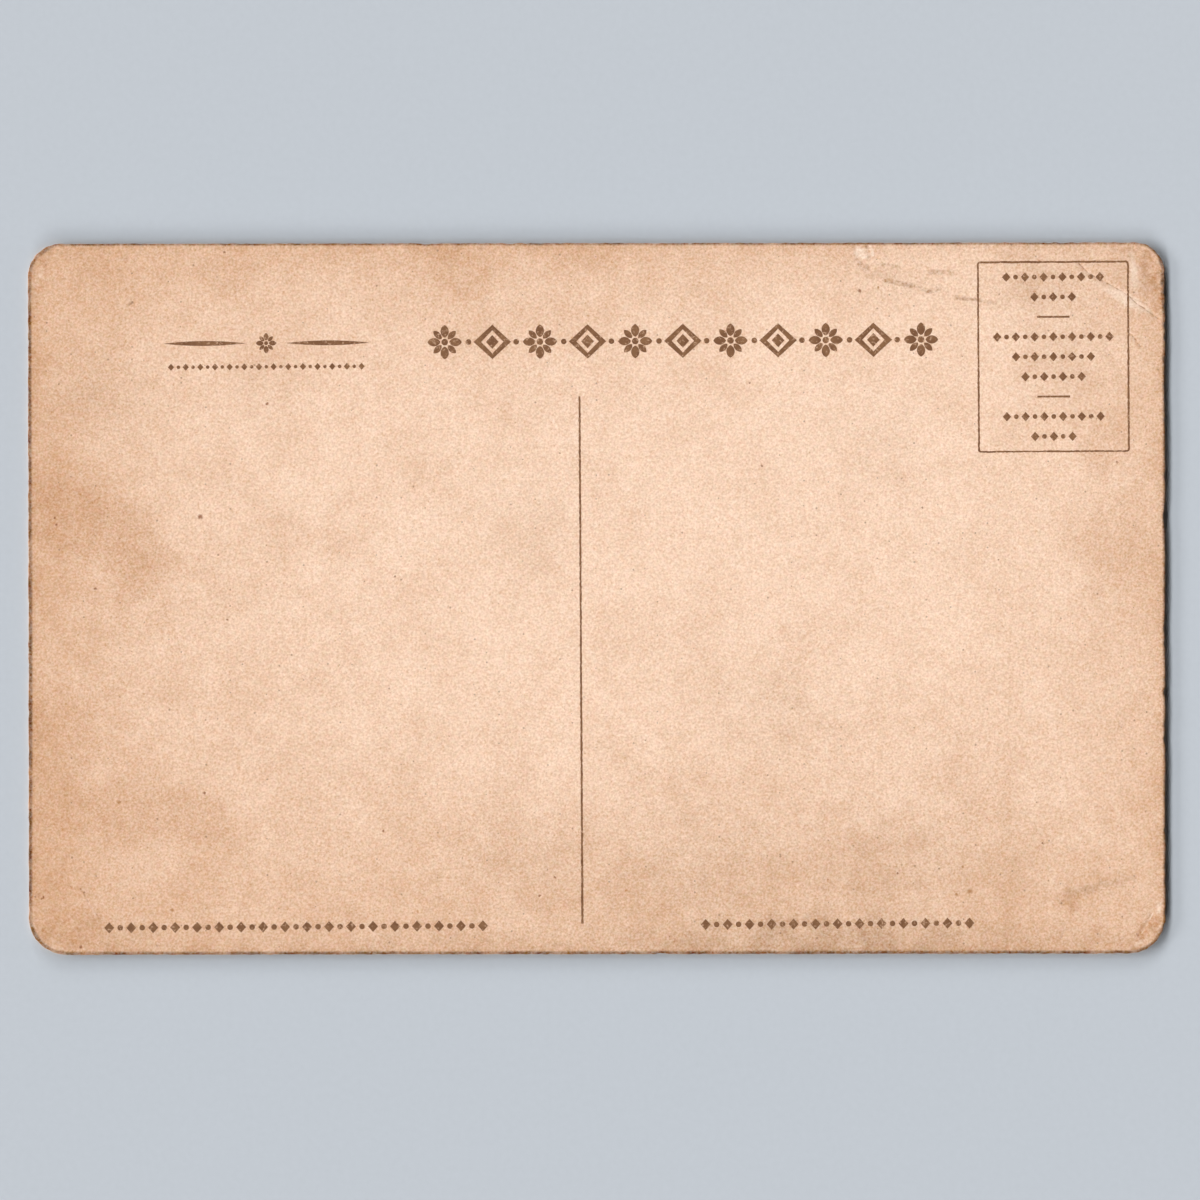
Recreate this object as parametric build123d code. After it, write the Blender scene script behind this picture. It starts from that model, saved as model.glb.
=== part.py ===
from build123d import *
import os
from math import ceil, cos, floor, sin, tau

# A pasted postcard lying picture side down, in millimetres. X runs to the right as the address side is read,
# Y to its top edge and Z out of it. Z is 0 on the picture side and the origin is at the middle of that side.

# The card and its plies
card_length = 139.7
card_height = 87.4
top_left_radius = 4.1
top_right_radius = 3.7
bottom_left_radius = 4.7
bottom_right_radius = 4.6
coating_thickness = 0.02
side_paper_thickness = 0.09
paste_thickness = 0.012
core_thickness = 0.22

# The brown printing on the address side, which lies in the paper and flush with it
print_ink_depth = 0.01
print_skew = 0.25           # degrees that the printing stands askew on the card
line_width = 0.235

# Stamp box, placed from the card's top right corner
box_right_margin = 4.3
box_top_margin = 2.55
box_width = 18.65
box_height = 23.5
box_end_gap = 1.15          # bare paper over the first row and under the last
box_row_height = 1.15
box_row_pitch = 1.15
# bare paper at the ends of each row in the box, from the top down; None is a thin rule
box_row_insets = (2.1, 5.9, None, 1.0, 3.0, 4.2, None, 1.7, 5.6)
box_rule_length = 4.0

# Title ornament, which fills the space between the imprint and the stamp box
title_height = 4.2
title_drop = 12.1           # from the card's top edge to the middle of the title
title_lozenge_width = 4.6
title_space = 1.25          # between neighbours, with a bead in it
title_gap = 4.0             # bare paper at each end of the title
title_bead_radius = 0.34

# Imprint ornament, at the left of the title
imprint_left_margin = 16.8
imprint_length = 25.2
imprint_rosette = 2.5
imprint_rule_width = 0.6
imprint_row_drop = 2.9      # from the ornament to the row of beads under it
imprint_row_height = 0.85
imprint_row_pitch = 0.9

# Divider line and the two headings at the foot
divider_offset = -2.0       # from the middle of the card
divider_top_margin = 18.85
divider_bottom_margin = 3.8
heading_height = 1.35
heading_pitch = 1.35
heading_rise = 3.6          # from the card's bottom edge to the middle of the headings
message_left_margin = 9.0
message_right_gap = 11.5    # from the end of the message heading to the divider
address_left_gap = 13.8     # from the divider to the start of the address heading
address_right_margin = 23.0

# The picture, inside a bare margin, and its inks
picture_margin = 4.5
picture_ink_depth = 0.008
keyline_width = 0.25
keyline_gap = 0.5           # bare coating between the keyline and the picture
least_ink_area = 1.0        # square millimetres; the picture's plates hold nothing smaller
hill_point_spacing = 4.0
far_hill_height = 44.0      # heights are from the picture's bottom edge
near_hill_height = 33.0
lake_height = 25.5
bank_height = 9.0
cloud_drop = 15.5           # from the picture's top edge to the lower cloud
cloud_length = 34.0
tree_height = 52.0
tree_crown_width = 25.0
trunk_width = 2.2
tree_inset = 17.0           # from the picture's side to the tallest tree
boat_length = 9.0
boat_inset = 44.0           # from the picture's other side to the boat
boat_rise = 17.0            # from the picture's bottom edge to the boat's keel

# Heights of the plies' lower faces
paper_below_z = coating_thickness
paste_below_z = paper_below_z + side_paper_thickness
core_z = paste_below_z + paste_thickness
paste_above_z = core_z + core_thickness
paper_above_z = paste_above_z + paste_thickness
card_thickness = paper_above_z + side_paper_thickness

# Places on the address side that other print lines up with
card_right = card_length / 2
card_left = -card_length / 2
card_top = card_height / 2
card_bottom = -card_height / 2
box_x = card_right - box_right_margin - box_width / 2
box_y = card_top - box_top_margin - box_height / 2
title_y = card_top - title_drop
imprint_x = card_left + imprint_left_margin + imprint_length / 2

# The picture's size and its lower edge, and the foot of its trees
picture_length = card_length - 2 * picture_margin
picture_height = card_height - 2 * picture_margin
picture_bottom = -picture_height / 2
tree_foot_y = picture_bottom + bank_height * 0.42


def card_outline():
    """The card's outline, one radius for each worn corner."""
    outline = Rectangle(card_length, card_height)
    corners = (
        (card_left, card_top, top_left_radius),
        (card_right, card_top, top_right_radius),
        (card_left, card_bottom, bottom_left_radius),
        (card_right, card_bottom, bottom_right_radius),
    )
    for x, y, radius in corners:
        corner = outline.vertices().sort_by_distance((x, y, 0))[0]
        outline = fillet(corner, radius=radius)
    return outline


def ply(lower_z, thickness):
    """A full layer of the card: the outline at a height, made up to its thickness."""
    return extrude(Pos(0, 0, lower_z) * card_outline(), amount=thickness)


def ink_film(areas, outer_z, depth):
    """A printed film: each flat area carried into the card from its outer face."""
    films = []
    for area in areas:
        for face in area.faces():
            films.extend(extrude(Pos(0, 0, outer_z) * face, amount=depth).solids())
    return Compound(children=films)


def address_ink(areas):
    """Brown ink flush with the address side, turned by the printing's skew."""
    turned = [Rot(0, 0, print_skew) * area for area in areas]
    return ink_film(turned, card_thickness, -print_ink_depth)


def lozenge(width, height):
    """A diamond."""
    return Polygon((width / 2, 0), (0, height / 2), (-width / 2, 0), (0, -height / 2), align=None)


def petal(length, width):
    """A pointed leaf between two arcs, from the origin out along X."""
    upper = ThreePointArc((0, 0), (length / 2, width / 2), (length, 0))
    lower = ThreePointArc((length, 0), (length / 2, -width / 2), (0, 0))
    return make_face([upper, lower])


def rosette(size):
    """Long and short petals in turn round a bead, as wide as the given size."""
    bead_radius = size * 0.095
    petal_start = size * 0.13
    long_petal = petal(size * 0.37, size * 0.24)
    short_petal = petal(size * 0.33, size * 0.17)
    areas = [Circle(bead_radius)]
    for quarter in range(4):
        areas.append(Rot(0, 0, 90 * quarter) * Pos(petal_start, 0) * long_petal)
        areas.append(Rot(0, 0, 90 * quarter + 45) * Pos(petal_start, 0) * short_petal)
    return areas


def open_lozenge(width, height):
    """A diamond with a border that is thickest at its sides, round a small diamond."""
    border = lozenge(width, height) - lozenge(width * 0.6, height * 0.68)
    return [border, lozenge(width * 0.34, height * 0.4)]


def placed(areas, x, y):
    """The same areas moved to a place on the card."""
    return [Pos(x, y) * area for area in areas]


def odd_count(length, pitch):
    """How many marks a row of a length holds, as an odd number so that both ends match."""
    count = max(3, floor(length / pitch) + 1)
    return count - 1 if count % 2 == 0 else count


def bead_row(length, pitch, height, x, y):
    """Small diamonds and beads in turn along a row, centred on a place."""
    count = odd_count(length - pitch, pitch)
    areas = []
    for index in range(count):
        along = x + (index - (count - 1) / 2) * pitch
        mark = lozenge(height * 0.9, height) if index % 2 == 0 else Circle(height * 0.25)
        areas.append(Pos(along, y) * mark)
    return areas


def title_ornament():
    """Rosettes and open diamonds in turn, with a bead between neighbours."""
    left_end = imprint_x + imprint_length / 2 + title_gap
    right_end = box_x - box_width / 2 - title_gap
    pitch = title_lozenge_width + title_space
    count = odd_count(right_end - left_end - pitch, pitch)
    middle = right_end - count * pitch / 2
    areas = []
    for index in range(count):
        along = middle + (index - (count - 1) / 2) * pitch
        motif = rosette(title_height) if index % 2 == 0 else open_lozenge(title_lozenge_width, title_height)
        areas.extend(placed(motif, along, title_y))
        if index < count - 1:
            areas.append(Pos(along + pitch / 2, title_y) * Circle(title_bead_radius))
    return address_ink(areas)


def imprint_ornament():
    """A small rosette between two swelled rules, with a row of beads under it."""
    rule_length = imprint_length / 2 - imprint_rosette
    rule_start = imprint_rosette
    areas = placed(rosette(imprint_rosette), imprint_x, title_y)
    rule = petal(rule_length, imprint_rule_width)
    areas.append(Pos(imprint_x + rule_start, title_y) * rule)
    areas.append(Pos(imprint_x - rule_start - rule_length, title_y) * rule)
    row_y = title_y - imprint_row_drop
    areas.extend(bead_row(imprint_length, imprint_row_pitch, imprint_row_height, imprint_x, row_y))
    return address_ink(areas)


def divider_line():
    """The line that parts the message from the address."""
    length = card_height - divider_top_margin - divider_bottom_margin
    middle = card_bottom + divider_bottom_margin + length / 2
    return address_ink([Pos(divider_offset, middle) * Rectangle(line_width, length)])


def stamp_box_frame():
    """The thin frame that shows where the stamp goes."""
    inner = Rectangle(box_width - 2 * line_width, box_height - 2 * line_width)
    return address_ink([Pos(box_x, box_y) * (Rectangle(box_width, box_height) - inner)])


def stamp_box_ornament():
    """Rows of beads evenly down the stamp box, with a thin rule in the place of two of them."""
    inner_width = box_width - 2 * line_width
    first_y = box_y + box_height / 2 - line_width - box_end_gap - box_row_height / 2
    drop = 2 * (first_y - box_y) / (len(box_row_insets) - 1)
    areas = []
    for index, inset in enumerate(box_row_insets):
        row_y = first_y - index * drop
        if inset is None:
            areas.append(Pos(box_x, row_y) * Rectangle(box_rule_length, line_width))
        else:
            areas.extend(bead_row(inner_width - 2 * inset, box_row_pitch, box_row_height, box_x, row_y))
    return address_ink(areas)


def message_heading():
    """The row of beads at the foot of the message half."""
    left_end = card_left + message_left_margin
    right_end = divider_offset - message_right_gap
    middle = (left_end + right_end) / 2
    row_y = card_bottom + heading_rise
    return address_ink(bead_row(right_end - left_end, heading_pitch, heading_height, middle, row_y))


def address_heading():
    """The row of beads at the foot of the address half."""
    left_end = divider_offset + address_left_gap
    right_end = card_right - address_right_margin
    middle = (left_end + right_end) / 2
    row_y = card_bottom + heading_rise
    return address_ink(bead_row(right_end - left_end, heading_pitch, heading_height, middle, row_y))


def picture_rectangle(grow):
    """The picture's rectangle, made larger on each side by an amount."""
    return Rectangle(picture_length + 2 * grow, picture_height + 2 * grow)


def ground_below(height, swells):
    """All of the picture below a hill line: a height with sine swells, each (share of it, waves, start)."""
    half_length = picture_length / 2 + hill_point_spacing
    steps = ceil(2 * half_length / hill_point_spacing)
    crest = []
    for step in range(steps + 1):
        x = -half_length + 2 * half_length * step / steps
        level = 1.0
        for share, waves, start in swells:
            level += share * sin(tau * (waves * x / picture_length + start))
        crest.append((x, picture_bottom + level * height))
    foot_y = picture_bottom - hill_point_spacing
    sides = Polyline(crest[-1], (half_length, foot_y), (-half_length, foot_y), crest[0])
    return make_face([Spline(*crest), sides])


def leafy_round(x, y, width, height, turn):
    """A closed lobed shape: an oval whose radius swells and sinks by sine waves round it."""
    steps = 60
    waves = ((0.09, 3, 1.3), (0.065, 5, 2.1), (0.05, 8, 0.7), (0.035, 13, 2.9))
    rim = []
    for step in range(steps):
        angle = tau * step / steps
        swell = 1.0
        for share, count, start in waves:
            swell += share * sin(count * angle + start * turn)
        rim.append((x + width / 2 * swell * cos(angle), y + height / 2 * swell * sin(angle)))
    return make_face(Spline(*rim, periodic=True))


def clouds():
    """Two banks of cloud left bare in the sky, each of rounded heaps on a long flat oval."""
    banks = Sketch()
    # middle and half sizes of each oval, as shares of the bank's length
    flat_base = (0.0, 0.0, 0.5, 0.045)
    heaps = ((-0.2, 0.045, 0.17, 0.065), (0.03, 0.075, 0.2, 0.1), (0.25, 0.035, 0.15, 0.055))
    for place, drop, size in ((-0.18, 1.0, 1.0), (0.21, 0.62, 0.72)):
        length = cloud_length * size
        for across, up, half_wide, half_high in (flat_base, *heaps):
            x = place * picture_length + across * length
            y = -picture_bottom - drop * cloud_drop + up * length
            banks += Pos(x, y) * Ellipse(half_wide * length, half_high * length)
    return banks


def boat_middle():
    """Where the boat's keel is, across and up."""
    return (picture_length / 2 - boat_inset, picture_bottom + boat_rise)


def boat():
    """A shallow hull with a raked bow and stern, and a thin mast."""
    x, y = boat_middle()
    deck_y = y + boat_length * 0.19
    mast_height = boat_length * 1.25
    deck = ((x + boat_length * 0.48, deck_y), (x - boat_length * 0.52, deck_y + boat_length * 0.05))
    keel = ((x - boat_length * 0.33, y), (x + boat_length * 0.36, y))
    hull = Polygon(*deck, *keel, align=None)
    mast = Pos(x, deck_y + mast_height / 2) * Rectangle(boat_length * 0.03, mast_height)
    return hull + mast


def boat_sails():
    """Two bare sails at the mast, each a three-cornered sheet."""
    x, y = boat_middle()
    foot_y = y + boat_length * 0.28
    gap = boat_length * 0.035
    main_top = (x + gap, foot_y + boat_length * 1.05)
    jib_top = (x - gap, foot_y + boat_length * 0.95)
    main = Polygon((x + gap, foot_y), (x + boat_length * 0.44, foot_y), main_top, align=None)
    jib = Polygon((x - gap, foot_y), jib_top, (x - boat_length * 0.4, foot_y), align=None)
    return main + jib


def tree_places():
    """Each tree's place across, and its size against the tallest one."""
    tall_x = -picture_length / 2 + tree_inset
    return ((tall_x, 1.0), (tall_x + 0.66 * tree_crown_width, 0.62), (-tall_x + 0.2 * tree_crown_width, 0.5))


def tree_trunks():
    """Tapered trunks that stand in the bank."""
    trunks = Sketch()
    for x, size in tree_places():
        top_y = tree_foot_y + tree_height * size * 0.6
        half_foot = trunk_width * size * 0.75
        half_top = trunk_width * size * 0.3
        left_side = ((x - half_top, top_y), (x - half_foot, tree_foot_y))
        right_side = ((x + half_foot, tree_foot_y), (x + half_top, top_y))
        trunks += Polygon(*left_side, *right_side, align=None)
    return trunks


def tree_foliage():
    """A leafy crown on each trunk, and a low bush clear of its foot."""
    crowns = Sketch()
    for index, (x, size) in enumerate(tree_places()):
        width = tree_crown_width * size
        height = tree_height * size
        crowns += leafy_round(x, tree_foot_y + 0.64 * height, width, 0.62 * height, 1 + index)
        bush_y = tree_foot_y + 0.03 * width
        crowns += leafy_round(x + 0.38 * width, bush_y, 0.36 * width, 0.2 * width, 2 + index)
    return crowns


def picture_tiles():
    """The picture's ink areas. Each one is cut back to what shows past the areas in front of it."""
    bare = clouds() + boat_sails()
    far_swells = ((0.095, 1.6, 0.12), (0.039, 4.2, 0.4), (0.014, 10.0, 0.1))
    near_swells = ((0.1, 1.25, 0.62), (0.045, 3.5, 0.0), (0.015, 11.9, 0.3))
    lake_swells = ((0.02, 1.36, 0.3), (0.01, 4.5, 0.7))
    bank_swells = ((0.2, 1.1, 0.55), (0.08, 3.8, 0.2))
    areas = (
        ("sky_ink", picture_rectangle(0)),
        ("far_hills_ink", ground_below(far_hill_height, far_swells)),
        ("near_hills_ink", ground_below(near_hill_height, near_swells)),
        ("lake_ink", ground_below(lake_height, lake_swells)),
        ("boat_ink", boat()),
        ("bank_ink", ground_below(bank_height, bank_swells)),
        ("tree_trunk_ink", tree_trunks()),
        ("tree_foliage_ink", tree_foliage()),
    )
    tiles = {}
    in_front = bare
    for name, area in reversed(areas):
        shown = (area & picture_rectangle(0)) - in_front
        tiles[name] = Sketch() + [face for face in shown.faces() if face.area > least_ink_area]
        in_front = in_front + area
    return tiles


def picture_keyline():
    """The thin line round the picture."""
    return picture_rectangle(keyline_gap + keyline_width) - picture_rectangle(keyline_gap)


def picture_coating(tiles):
    """The chalk coat, with one shallow bed under all the inks of the picture and one under its keyline."""
    bed = Sketch() + [face for tile in tiles.values() for face in tile.faces()]
    return ply(0, coating_thickness) - extrude(bed, amount=picture_ink_depth)


def address_paper(films):
    """The address side's paper, with a shallow bed for each film of ink."""
    paper = ply(paper_above_z, side_paper_thickness)
    for film in films:
        paper -= film.solids()
    return paper


address_films = {
    "title_ornament_ink": title_ornament(),
    "imprint_ornament_ink": imprint_ornament(),
    "divider_line_ink": divider_line(),
    "stamp_box_frame_ink": stamp_box_frame(),
    "stamp_box_ornament_ink": stamp_box_ornament(),
    "message_heading_ink": message_heading(),
    "address_heading_ink": address_heading(),
}
picture_areas = picture_tiles()
picture_areas["picture_keyline_ink"] = picture_keyline()

nodes = {
    "picture_coating": picture_coating(picture_areas),
    "picture_side_paper": ply(paper_below_z, side_paper_thickness),
    "lower_paste_layer": ply(paste_below_z, paste_thickness),
    "core_board": ply(core_z, core_thickness),
    "upper_paste_layer": ply(paste_above_z, paste_thickness),
    "address_side_paper": address_paper(address_films.values()),
}
nodes.update(address_films)
for name, area in picture_areas.items():
    nodes[name] = ink_film([area], 0, picture_ink_depth)

os.makedirs("parts", exist_ok=True)
for name, shape in nodes.items():
    export_step(shape, f"parts/{name}.step")
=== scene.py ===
import functools
import math
import bpy
import numpy as np
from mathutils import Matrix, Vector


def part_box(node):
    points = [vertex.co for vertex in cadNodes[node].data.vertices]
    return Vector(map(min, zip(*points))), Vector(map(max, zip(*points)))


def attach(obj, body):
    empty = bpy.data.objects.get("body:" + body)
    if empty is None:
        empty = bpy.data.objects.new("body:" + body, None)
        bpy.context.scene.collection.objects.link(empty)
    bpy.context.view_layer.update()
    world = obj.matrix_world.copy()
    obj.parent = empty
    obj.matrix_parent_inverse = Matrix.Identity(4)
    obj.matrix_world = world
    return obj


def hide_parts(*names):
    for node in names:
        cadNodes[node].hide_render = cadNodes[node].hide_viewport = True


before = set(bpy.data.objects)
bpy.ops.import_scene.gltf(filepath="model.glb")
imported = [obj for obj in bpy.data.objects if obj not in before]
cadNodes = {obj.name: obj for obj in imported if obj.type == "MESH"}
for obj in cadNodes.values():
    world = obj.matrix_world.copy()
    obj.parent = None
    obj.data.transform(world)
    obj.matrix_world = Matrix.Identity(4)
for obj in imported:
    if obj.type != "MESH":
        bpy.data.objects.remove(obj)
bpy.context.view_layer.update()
print("frame loaded:", len(cadNodes), "nodes")

# shapes are worked out in millimetres and go into the meshes in metres
mm = 0.001
coreLow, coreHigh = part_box("core_board")
card = {
    "length": (coreHigh.x - coreLow.x) / mm,
    "height": (coreHigh.y - coreLow.y) / mm,
    "cornerRadii": (4.1, 3.7, 4.7, 4.6),  # top left, top right, bottom left, bottom right
    "printTurn": 0.25,                    # degrees that the printing stands askew
    "inkStep": 0.004,                     # the ink films stand this far proud of the paper
}
halfLength, halfHeight = card["length"] / 2, card["height"] / 2


def linearColour(hexColour):
    # an sRGB hex value as the linear colour that a shader socket takes
    srgb = np.array([int(hexColour[i:i + 2], 16) for i in (1, 3, 5)]) / 255
    linear = np.where(srgb <= 0.04045, srgb / 12.92, ((srgb + 0.055) / 1.055) ** 2.4)
    return (*linear.tolist(), 1.0)


# settings that many nodes share; by number, a Mix has its share at 0 and its colours at 6 and 7
mixColours = {"data_type": "RGBA"}
times, plus, timesPlus = ({"operation": name} for name in ("MULTIPLY", "ADD", "MULTIPLY_ADD"))
plusClamped = {**plus, "use_clamp": True}
smoothStep = {"interpolation_type": "SMOOTHSTEP"}


def addNode(tree, kind, settings={}, values={}, links={}):
    # a value may be a hex colour; a link comes from a socket, or from the first output that a node has in use
    node = tree.nodes.new("ShaderNode" + kind)
    for name, value in settings.items():
        setattr(node, name, value)
    for socket, value in values.items():
        node.inputs[socket].default_value = linearColour(value) if isinstance(value, str) else value
    for socket, source in links.items():
        if isinstance(source, bpy.types.Node):
            source = next(output for output in source.outputs if output.enabled)
        tree.links.new(source, node.inputs[socket])
    return node


def spread(levels):
    # a Map Range's sockets 1 to 4: low and high of what comes in, then what they become
    return dict(enumerate(levels, 1))


def newMaterial(name):
    # an empty node tree, what adds a node to it, and Object coordinates turned into millimetres
    material = bpy.data.materials.new(name)
    material.use_nodes = True
    material.node_tree.nodes.clear()
    add = functools.partial(addNode, material.node_tree)
    place = add("TexCoord")
    inMm = add("Mapping", {}, {"Scale": (1 / mm,) * 3}, {"Vector": place.outputs["Object"]})
    return material, add, inMm


def finishSurface(add, colour, height, tooth, values):
    # the shader, over a fine tooth with its strength and its depth in mm
    strength, deep = tooth
    bump = add("Bump", {}, {"Strength": strength, "Distance": deep * mm}, {"Height": height})
    shader = add("BsdfPrincipled", {}, values, {"Base Color": colour, "Normal": bump})
    add("OutputMaterial", links={"Surface": shader})


def newPiece(name, points, faces, material):
    mesh = bpy.data.meshes.new(name)
    mesh.from_pydata(points * mm, [], faces)
    mesh.validate()
    mesh.materials.append(material)
    piece = bpy.data.objects.new(name, mesh)
    bpy.context.scene.collection.objects.link(piece)
    return piece


def depthInside(x, y):
    # how far a point lies in from the outline, a rectangle with an arc of its own radius in each quarter,
    # and the direction straight out of the card there
    topLeft, topRight, bottomLeft, bottomRight = card["cornerRadii"]
    radius = np.where(y > 0, np.where(x < 0, topLeft, topRight), np.where(x < 0, bottomLeft, bottomRight))
    across = np.abs(x) - halfLength + radius
    up = np.abs(y) - halfHeight + radius
    arcX, arcY = np.maximum(across, 0), np.maximum(up, 0)
    reach = np.hypot(arcX, arcY)
    depth = radius - reach - np.minimum(np.maximum(across, up), 0)
    inArc = (across > 0) & (up > 0)
    safe = np.maximum(reach, 1e-6)
    outX = np.where(inArc, arcX / safe, (across >= up) * 1.0) * np.sign(x)
    outY = np.where(inArc, arcY / safe, (across < up) * 1.0) * np.sign(y)
    return depth, outX, outY


def softNoise(x, y, size, seed):
    # plane waves in seeded directions, with lengths spread about one size; unit spread
    count = 12
    rng = np.random.default_rng(seed)
    turn = rng.uniform(0, 2 * np.pi, count)
    wave = 2 * np.pi / (size * rng.uniform(0.7, 1.6, count))
    start = rng.uniform(0, 2 * np.pi, count)
    phase = (x[..., None] * np.cos(turn) + y[..., None] * np.sin(turn)) * wave + start
    return np.sin(phase).sum(-1) / np.sqrt(count / 2)


edgeWear = {
    # mm that handling has taken off the edge; share, size in mm and seed of the noise in it
    "rub": 0.035, "rubNoise": ((0.6, 1.1, 11), (0.35, 6.0, 12)),
    "fraySize": 0.8,           # mm, size of the noise in a layer's own rub
    # the right edge is knocked, from this many mm in: depth in mm, even and noisy part, size and seed of its
    # dents, then of its nicks
    "knocked": 4.0, "dents": (0.05, 0.5, 0.7, 10.0, 13), "nicks": (0.06, 0, 1, 1.3, 14),
    "address": (51, 0.006), "picture": (52, 0.010),   # seed and depth in mm of a face's own rub
    "reach": 2.0,              # mm inwards over which these shifts fade
    # x, y, half width and depth of small chips, mm
    "chips": (
        (-20.8, 43.7, 0.6, 0.15), (-10.7, 43.7, 0.45, 0.12), (7.9, -43.7, 0.5, 0.13), (69.85, 9.5, 0.8, 0.12),
        (69.85, -12.0, 0.7, 0.10), (-69.85, -14.0, 0.5, 0.08)),
}


def wornPlace(x, y, ownSeed, ownRub):
    # a point moves in along the outline's normal by rub, dents, nicks and chips, less the deeper it lies
    depth, outX, outY = depthInside(x, y)
    waves = sum(share * softNoise(x, y, size, seed) for share, size, seed in edgeWear["rubNoise"])
    shift = edgeWear["rub"] * np.clip(1 + waves, 0, None)
    shift += ownRub * np.clip(1 + softNoise(x, y, edgeWear["fraySize"], ownSeed), 0, None)
    knocked = np.clip((x - halfLength + edgeWear["knocked"]) / edgeWear["knocked"], 0, 1)
    for kind, alongX in (("dents", 0 * x), ("nicks", x)):
        deep, even, noisy, size, seed = edgeWear[kind]
        shift += deep * knocked * np.clip(even + noisy * softNoise(alongX, y, size, seed), 0, None)
    for chipX, chipY, halfWidth, chipDepth in edgeWear["chips"]:
        shift += chipDepth * np.exp(-((x - chipX) ** 2 + (y - chipY) ** 2) / halfWidth ** 2)
    shift *= np.clip(1 - depth / edgeWear["reach"], 0, 1) ** 2
    return x - outX * shift, y - outY * shift


def gradedLines(low, high, spacing):
    # grid lines whose spacing follows a function: the running sum of 1/spacing, read back at even steps
    samples = 20001
    fine = np.linspace(low, high, samples)
    count = np.concatenate(([0], np.cumsum((fine[1] - fine[0]) / spacing(fine[1:]))))
    return np.interp(np.linspace(0, count[-1], math.ceil(count[-1]) + 1), count, fine)


sheetMesh = {
    # spacing along x, along y and in the creased top right corner, mm
    "address": (0.65, 0.40, 0.14), "picture": (0.9, 0.7, 0.7),
    "creased": (57, 29),       # mm, x and y beyond which that corner's spacing holds
    # spacing on the short edges in mm and its growth per mm; on the long ones it grows with the root
    "shortEdges": (0.07, 0.35), "longEdges": (0.005, 0.16),
}


def sheetGrid(wide, high, corner):
    # rows at graded heights; each row runs from the outline's left side to its right side at that height
    topLeft, topRight, bottomLeft, bottomRight = card["cornerRadii"]
    creasedX, creasedY = sheetMesh["creased"]

    def spacingX(x):
        least, growth = sheetMesh["shortEdges"]
        return np.minimum(np.where(x > creasedX, corner, wide), least + growth * (halfLength - np.abs(x)))

    def spacingY(y):  # closest at the long edges, so that an arc's chords stay short
        least, growth = sheetMesh["longEdges"]
        inward = np.maximum(halfHeight - np.abs(y), 0)
        return np.minimum(np.where(y > creasedY, corner, high), least + growth * np.sqrt(inward))

    columns = gradedLines(-halfLength, halfLength, spacingX)
    rows = gradedLines(-halfHeight, halfHeight, spacingY)

    def arcInset(upper, lower):  # how far the corner arcs of one side take the row's end in
        upArc = np.clip(rows - (halfHeight - upper), 0, upper)
        downArc = np.clip(-rows - (halfHeight - lower), 0, lower)
        return upper - np.sqrt(upper ** 2 - upArc ** 2) + lower - np.sqrt(lower ** 2 - downArc ** 2)

    left = -halfLength + arcInset(topLeft, bottomLeft)
    right = halfLength - arcInset(topRight, bottomRight)
    share = (columns + halfLength) / card["length"]
    x = left[:, None] + share[None, :] * (right - left)[:, None]
    return x, np.broadcast_to(rows[:, None], x.shape).copy()


def ringOf(rowCount, columnCount):
    # indices once round a grid's border, anticlockwise seen from above
    index = np.arange(rowCount * columnCount).reshape(rowCount, columnCount)
    return np.concatenate((index[0, :-1], index[:-1, -1], index[-1, :0:-1], index[:0:-1, 0]))


damage = {
    # the fine creases: points that each runs through, half width and depth, mm, and how strongly its hair
    # line shows in which tone; the dark fold lines are crease dirt, except the one beside the bottom right
    # crease, which is painted shade, and the pale lines are painted highlights on the ridges
    "creases": (
        (((59.3, 41.1), (60.5, 39.8), (62.7, 38.65), (65.2, 37.25), (66.4, 36.1), (68.9, 34.4)),
         0.22, 0.030, 0.50, "fold"),
        (((65.6, 36.95), (67.5, 36.15), (68.4, 34.8)), 0.18, 0.016, 0.20, "fold"),
        (((65.5, 32.5), (66.2, 31.7), (66.9, 30.8)), 0.18, 0.022, 0.40, "fold"),
        (((33.25, 43.4), (33.3, 42.5), (33.6, 41.6)), 0.22, 0.030, 0.0, "fold"),
        (((31.4, 43.4), (31.5, 42.2), (32.2, 41.2)), 0.25, 0.024, 0.0, "fold"),
        # this pair paints the bottom right crease: a pale line as its lit ridge and a dark one as its shade
        (((68.25, -38.7), (67.6, -40.0), (66.9, -41.2)), 0.22, 0.022, 0.40, "rubbed"),
        (((67.9, -38.9), (67.2, -40.2), (66.3, -41.6)), 0.16, 0.014, 0.20, "fold"),
        (((-54.5, 37.4), (-52.0, 39.2), (-49.8, 41.4)), 0.12, 0.004, 0.25, "rubbed")),
    "hairLine": 0.08,          # mm, half its width
    # middle x, y, half sizes, turn in degrees and depth of the shallow dips, mm
    "dips": (
        (68.2, 39.6, 1.5, 3.2, -12, 0.030), (66.6, 41.6, 2.2, 1.0, -25, 0.022),
        (32.6, 41.0, 1.6, 0.6, 0, 0.020), (66.8, -41.0, 2.2, 1.6, 40, 0.022),
        (-67.4, 41.2, 1.7, 1.0, 40, 0.016), (-67.2, -40.6, 2.0, 1.2, -40, 0.014)),
    # how far the paper lies hollow between its fibres, mm; share, size in mm and seed of the noise in it
    "cockle": (0.004, 0.6, 3.0, 31),
    # mm over which the arris is rounded and how far it drops, the noise in its width in the same way, and the
    # share by which it drops less on the left
    "arris": (0.30, 0.03, 0.3, 2.5, 33), "leftArris": 0.85,
    # the top right corner falls away beyond a line between two points, mm per mm; it starts at an x and a y
    # and grows over so many mm
    "bentCorner": ((65.4, 37.0), (68.7, 34.5), 0.014), "bentFrom": ((58, 4), (30, 3)),
    "deepest": 0.085,          # mm, to stay within the paper's thickness
}
# the same creases as straight lines to draw: start, end, half width in mm, strength and tone
creaseLines = [(start, end, damage["hairLine"], strength, tone)
               for points, halfWidth, deep, strength, tone in damage["creases"]
               for start, end in zip(points, points[1:]) if strength]


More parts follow.
